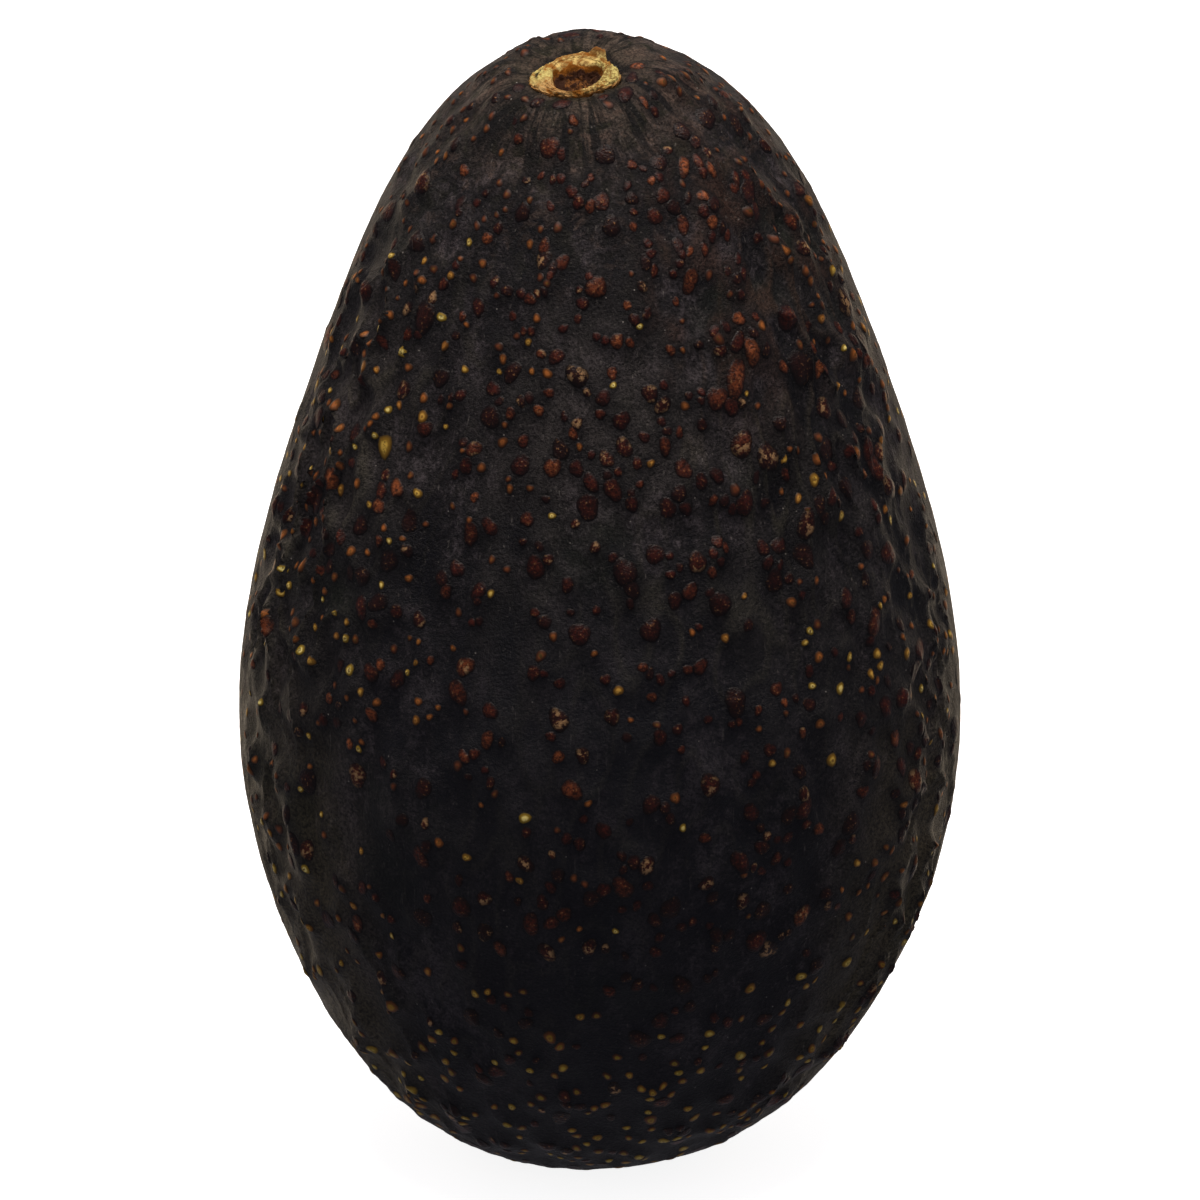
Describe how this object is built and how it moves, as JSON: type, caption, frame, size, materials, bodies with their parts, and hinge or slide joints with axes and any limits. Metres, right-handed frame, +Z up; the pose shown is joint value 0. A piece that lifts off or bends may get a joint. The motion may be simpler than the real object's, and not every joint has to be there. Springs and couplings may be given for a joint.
{
  "type": "avocado",
  "caption": "Whole ripe avocado with dark pebbled skin and a corky stem button, standing on a small flat spot on its broad end.",
  "frame": {"origin": "middle of the fruit's footprint, on the plane of the small flat spot that it rests on", "axes": "+Z up along the fruit from the broad blossom end to the neck; the stem scar leans towards -Y; +X to the right seen from -Y"},
  "size_m": [0.0678, 0.0674, 0.1095],
  "materials": {
    "skin": "ripe avocado skin: near-black purple-brown, waxy and half matte, pebbled, with maroon corky warts and small yellow-green lenticels",
    "stem_cork": "dry tan cork, granular and matt, with a brown fibrous hollow"
  },
  "bodies": {
    "root": {"fruit": "skin", "stem_button": "stem_cork"}
  },
  "joints": []
}
